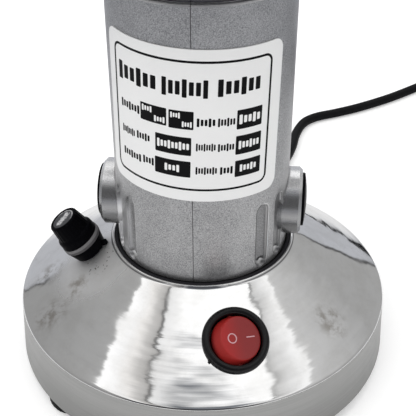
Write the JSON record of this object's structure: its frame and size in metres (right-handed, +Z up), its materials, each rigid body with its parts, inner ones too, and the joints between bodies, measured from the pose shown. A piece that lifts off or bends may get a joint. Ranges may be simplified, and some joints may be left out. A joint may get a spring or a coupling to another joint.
{
  "type": "electric coffee grinder",
  "caption": "Stand-type electric grinder: dished steel base with rocker switch and fuse, upright motor housing, steel bowl with blades under a knobbed lid, and mains cord.",
  "frame": {"origin": "on the table, under the middle of the base and its four feet", "axes": "+Z up along the motor shaft; the housing's front seam faces -Y; the brush bosses lie along X"},
  "size_m": [0.2922, 0.3297, 0.2627],
  "materials": {
    "dish_steel": "polished stainless steel, faint brushing round the cone",
    "zinc_plate": "zinc-plated sheet",
    "zinc_steel": "zinc-plated turned steel",
    "screw_steel": "plated machine screws",
    "foot_rubber": "matt black rubber",
    "ring_rubber": "satin black rubber",
    "housing_paint": "silver-grey speckled paint on die-cast aluminium",
    "label_foil": "satin white-silver foil",
    "holder_brass": "drawn brass",
    "cap_plastic": "black phenolic",
    "carbon": "pressed carbon",
    "spring_steel": "spring steel wire",
    "core_steel": "stacked electrical sheet",
    "copper_wire": "enamelled copper wire",
    "bearing_steel": "ground bearing steel",
    "shaft_steel": "ground steel",
    "copper_bars": "turned copper bars",
    "fan_plastic": "black nylon",
    "bowl_steel": "satin stainless steel",
    "seal_rubber": "black nitrile",
    "blade_steel": "ground stainless steel",
    "lid_steel": "polished stainless steel",
    "gasket_silicone": "translucent white silicone",
    "knob_plastic": "black phenolic",
    "switch_plastic": "satin black nylon",
    "rocker_plastic": "red translucent plastic",
    "fuse_plastic": "black phenolic",
    "washer_rubber": "dark grey rubber",
    "fuse_glass": "clear glass",
    "block_plastic": "natural nylon",
    "suppressor_case": "blue moulded case",
    "lead_plastic": "insulated wire",
    "cord_plastic": "matt black vinyl",
    "pin_nickel": "nickel-plated brass"
  },
  "bodies": {
    "base": {"base_dish": "dish_steel", "bottom_plate": "zinc_plate", "mount_plate": "zinc_plate", "pillars": "zinc_steel", "base_screws": "screw_steel", "foot_front_right": "foot_rubber", "foot_rear_right": "foot_rubber", "foot_rear_left": "foot_rubber", "foot_front_left": "foot_rubber", "neck_ring": "ring_rubber", "housing_left": "housing_paint", "housing_right": "housing_paint", "housing_screws": "screw_steel", "label_plate": "label_foil", "brush_holder_left": "holder_brass", "brush_holder_right": "holder_brass", "brush_caps": "cap_plastic", "brush_spring_left": "spring_steel", "brush_spring_right": "spring_steel", "stator_core": "core_steel", "field_coil_left": "copper_wire", "field_coil_right": "copper_wire", "bearing_outer_rings": "bearing_steel", "bowl_cradle": "housing_paint", "bowl": "bowl_steel", "bowl_screws": "screw_steel", "shaft_seal": "seal_rubber", "switch_body": "switch_plastic", "terminal_tabs": "holder_brass", "fuse_holder": "fuse_plastic", "fuse_nut": "fuse_plastic", "fuse_washer": "washer_rubber", "terminal_block": "block_plastic", "suppressor": "suppressor_case", "inner_leads": "lead_plastic", "strain_relief": "cord_plastic", "cord": "cord_plastic", "cord_coil": "cord_plastic", "cord_tail": "cord_plastic", "plug": "cord_plastic", "plug_pins": "pin_nickel"},
    "rotor": {"shaft": "shaft_steel", "rotor_core": "core_steel", "rotor_winding": "copper_wire", "commutator": "copper_bars", "fan": "fan_plastic", "bearing_inner_rings": "bearing_steel", "lower_blade": "blade_steel", "blade_spacer": "blade_steel", "upper_blade": "blade_steel", "blade_nut": "blade_steel"},
    "rocker": {"rocker": "rocker_plastic"},
    "lid_seal": {"lid_gasket": "gasket_silicone"},
    "lid": {"lid": "lid_steel", "lid_knob": "knob_plastic", "knob_screw": "screw_steel"},
    "fuse_link": {"glass_fuse": "fuse_glass"},
    "fuse_cap": {"fuse_cap": "fuse_plastic"},
    "brush_left": {"brush_left": "carbon"},
    "brush_right": {"brush_right": "carbon"}
  },
  "joints": [
    {"name": "rotor_spin", "type": "hinge", "parent": "base", "child": "rotor", "pos_m": [0, 0, 0.1], "axis": [0, 0, 1], "continuous": true},
    {"name": "switch_rock", "type": "hinge", "parent": "base", "child": "rocker", "pos_m": [0.01593, -0.04733, 0.03693], "axis": [-0.2687, 0.7984, 0.5388], "range_deg": [-16, 0]},
    {"name": "lid_lift", "type": "slide", "parent": "base", "child": "lid_seal", "axis": [0, 0, 1], "range_m": [0, 0.09]},
    {"name": "lid_turn", "type": "hinge", "parent": "lid_seal", "child": "lid", "pos_m": [0, 0, 0.235], "axis": [0, 0, 1], "range_deg": [0, 90]},
    {"name": "fuse_pull", "type": "slide", "parent": "base", "child": "fuse_link", "axis": [-0.5278, -0.1083, 0.8425], "range_m": [0, 0.03]},
    {"name": "fuse_cap_turn", "type": "hinge", "parent": "fuse_link", "child": "fuse_cap", "pos_m": [-0.0448, -0.0092, 0.04864], "axis": [-0.5278, -0.1083, 0.8425], "range_deg": [0, 90]},
    {"name": "brush_left_slide", "type": "slide", "parent": "base", "child": "brush_left", "axis": [-1, 0, 0], "range_m": [0, 0.003], "stiffness_N_per_m": 200, "springref_m": -0.01, "deforming": ["brush_spring_left"]},
    {"name": "brush_right_slide", "type": "slide", "parent": "base", "child": "brush_right", "axis": [1, 0, 0], "range_m": [0, 0.003], "stiffness_N_per_m": 200, "springref_m": -0.01, "deforming": ["brush_spring_right"]}
  ]
}
